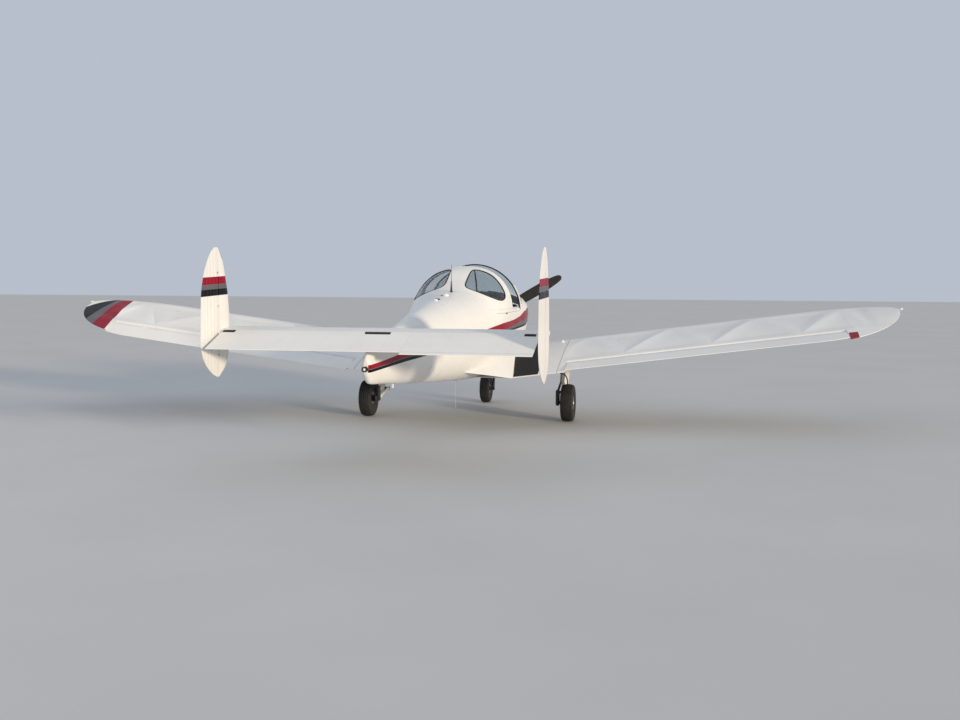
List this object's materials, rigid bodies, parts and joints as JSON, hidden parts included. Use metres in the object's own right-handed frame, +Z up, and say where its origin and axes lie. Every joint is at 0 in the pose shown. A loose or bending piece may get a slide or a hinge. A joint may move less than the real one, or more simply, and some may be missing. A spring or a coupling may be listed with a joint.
{
  "type": "two-seat light aircraft",
  "caption": "Low-wing two-seat aircraft with an open canopy, raised outer wings, a tailplane between twin fins, a nose wheel and a two-blade propeller; its wheels and control surfaces move.",
  "frame": {"origin": "bottom centre of the aircraft's box, on the ground under the middle of its length and span", "axes": "+X to the right wing tip, +Y forward to the propeller, +Z up"},
  "size_m": [9.1772, 6.3582, 1.805],
  "materials": {
    "white_skin": "gloss",
    "white_fabric": "gloss",
    "window": "polished",
    "black_frame": "satin",
    "bare_metal": "satin",
    "engine": "matte",
    "tyre": "matte",
    "black_steel": "satin",
    "upholstery": "matte",
    "black_plastic": "matte",
    "lamp": "gloss"
  },
  "bodies": {
    "airframe": {"cabin_belly": "white_skin", "cabin_side_left": "white_skin", "cabin_side_right": "white_skin", "control_wheel_left": "black_plastic", "control_wheel_right": "black_plastic", "cowl_deck": "white_skin", "cowling_lower": "white_skin", "cowling_nose_bowl": "white_skin", "cowling_upper": "white_skin", "engine_block": "engine", "fin_left": "white_skin", "fin_right": "white_skin", "firewall": "bare_metal", "instrument_panel": "black_plastic", "main_leg_left": "white_skin", "main_leg_right": "white_skin", "nose_leg": "black_steel", "rear_window_left": "window", "rear_window_right": "window", "seat_back": "upholstery", "seat_cushion": "upholstery", "seat_frame": "bare_metal", "stabilizer": "white_skin", "tail_cone": "white_skin", "tail_light": "lamp", "tip_light_left": "lamp", "tip_light_right": "lamp", "trailing_link_left": "black_steel", "trailing_link_right": "black_steel", "turtledeck": "white_skin", "windscreen": "window", "windscreen_frame": "black_frame", "wing_centre_section": "white_skin", "wing_outer_left": "white_fabric", "wing_outer_right": "white_fabric"},
    "propeller": {"propeller": "black_frame", "spinner": "white_skin"},
    "nose_fork": {"nose_fork": "black_steel"},
    "nose_wheel": {"nose_wheel_rim": "bare_metal", "nose_wheel_tyre": "tyre"},
    "main_wheel_left": {"main_wheel_left_rim": "bare_metal", "main_wheel_left_tyre": "tyre"},
    "main_wheel_right": {"main_wheel_right_rim": "bare_metal", "main_wheel_right_tyre": "tyre"},
    "elevator": {"elevator": "white_skin"},
    "rudder_left": {"rudder_left": "white_skin"},
    "rudder_right": {"rudder_right": "white_skin"},
    "aileron_left": {"aileron_left": "white_skin"},
    "aileron_right": {"aileron_right": "white_skin"}
  },
  "joints": [
    {"name": "propeller_turn", "type": "hinge", "parent": "airframe", "child": "propeller", "pos_m": [0, 3.04307, 1.12], "axis": [0, 1, 0], "continuous": true},
    {"name": "nose_steer", "type": "hinge", "parent": "airframe", "child": "nose_fork", "pos_m": [0, 2.52807, 0.4], "axis": [0, 0, 1], "range_deg": [-20, 20]},
    {"name": "nose_wheel_turn", "type": "hinge", "parent": "nose_fork", "child": "nose_wheel", "pos_m": [-0.086, 2.46807, 0.17449], "axis": [1, 0, 0], "continuous": true},
    {"name": "main_wheel_left_turn", "type": "hinge", "parent": "airframe", "child": "main_wheel_left", "pos_m": [-1.125, 0.82807, 0.20225], "axis": [1, 0, 0], "continuous": true},
    {"name": "main_wheel_right_turn", "type": "hinge", "parent": "airframe", "child": "main_wheel_right", "pos_m": [1.125, 0.82807, 0.20225], "axis": [1, 0, 0], "continuous": true},
    {"name": "elevator_hinge", "type": "hinge", "parent": "airframe", "child": "elevator", "pos_m": [0, -2.77193, 1.124], "axis": [1, 0, 0], "range_deg": [-32, 3.5]},
    {"name": "rudder_left_hinge", "type": "hinge", "parent": "airframe", "child": "rudder_left", "pos_m": [-1.345, -2.77193, 1.2735], "axis": [0, 0, 1], "range_deg": [-20, 3]},
    {"name": "rudder_right_hinge", "type": "hinge", "parent": "airframe", "child": "rudder_right", "pos_m": [1.345, -2.77193, 1.2735], "axis": [0, 0, 1], "range_deg": [-3, 20]},
    {"name": "aileron_left_hinge", "type": "hinge", "parent": "airframe", "child": "aileron_left", "pos_m": [-0.61496, 0.40407, 0.56285], "axis": [0.9917, 0, -0.1288], "range_deg": [-24.5, 15.5]},
    {"name": "aileron_right_hinge", "type": "hinge", "parent": "airframe", "child": "aileron_right", "pos_m": [0.61496, 0.40407, 0.56285], "axis": [0.9917, 0, 0.1288], "range_deg": [-15.5, 24.5]}
  ],
  "couplings": [
    {"joint": "aileron_left_hinge", "follows": "aileron_right_hinge", "ratio": -1}
  ]
}
